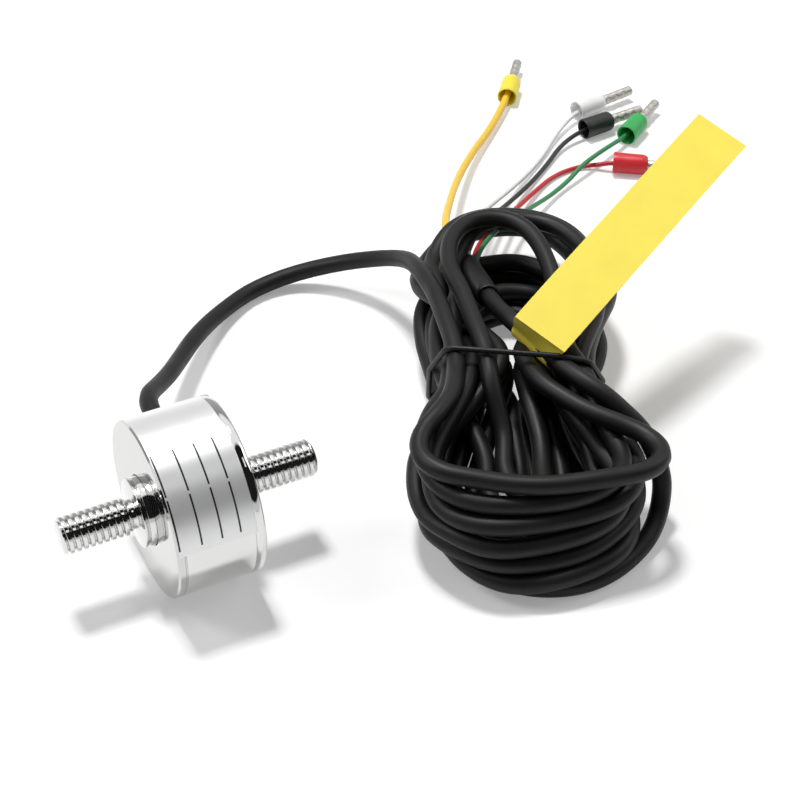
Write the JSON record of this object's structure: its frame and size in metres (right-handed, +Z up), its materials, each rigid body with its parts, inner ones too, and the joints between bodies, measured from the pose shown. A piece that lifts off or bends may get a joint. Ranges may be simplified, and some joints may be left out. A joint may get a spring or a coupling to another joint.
{
  "type": "force sensor",
  "caption": "Small round inline force sensor with a threaded stud on each face, and a long thin black cable in a tied hank ending in ferruled wires.",
  "frame": {"origin": "on the floor, under the middle of the round body", "axes": "+X along the load axis, out of the rear stud; +Y from the body to where the cable leaves it; +Z up"},
  "size_m": [0.1676, 0.1564, 0.0413],
  "materials": {
    "steel_body": "satin",
    "steel_cover": "satin",
    "steel_cap": "polished",
    "seal": "matte",
    "gauge_foil": "gloss",
    "board": "gloss",
    "resistor": "matte",
    "pin_metal": "satin",
    "bush_metal": "satin",
    "crimp_metal": "satin",
    "label_film": "satin",
    "relief_rubber": "matte",
    "cable_jacket": "matte",
    "heat_shrink": "satin",
    "tie": "matte",
    "flag_film": "satin",
    "wire_white": "satin",
    "collar_white": "satin",
    "tinned_copper": "satin",
    "wire_black": "satin",
    "collar_black": "satin",
    "wire_red": "satin",
    "collar_red": "satin",
    "wire_green": "satin",
    "collar_green": "satin",
    "wire_shield": "satin",
    "collar_shield": "satin"
  },
  "bodies": {
    "root": {"sensing_element": "steel_body", "front_cover": "steel_cover", "rear_cap": "steel_cap", "boss_seal": "seal", "strain_gauges": "gauge_foil", "compensation_board": "board", "board_resistors": "resistor", "board_pins": "pin_metal", "entry_bush": "bush_metal", "crimp_ring": "crimp_metal", "rating_label": "label_film", "strain_relief": "relief_rubber", "cable_root": "cable_jacket", "cable_lead": "cable_jacket", "cable_hank": "cable_jacket", "cable_tail": "cable_jacket", "heat_shrink_sleeve": "heat_shrink", "tie_wire": "tie", "flag_label": "flag_film", "inner_wire_white": "wire_white", "lead_white": "wire_white", "ferrule_collar_white": "collar_white", "ferrule_pin_white": "tinned_copper", "inner_wire_black": "wire_black", "lead_black": "wire_black", "ferrule_collar_black": "collar_black", "ferrule_pin_black": "tinned_copper", "inner_wire_red": "wire_red", "lead_red": "wire_red", "ferrule_collar_red": "collar_red", "ferrule_pin_red": "tinned_copper", "inner_wire_green": "wire_green", "lead_green": "wire_green", "ferrule_collar_green": "collar_green", "ferrule_pin_green": "tinned_copper", "lead_shield": "wire_shield", "ferrule_collar_shield": "collar_shield", "ferrule_pin_shield": "tinned_copper"}
  },
  "joints": []
}
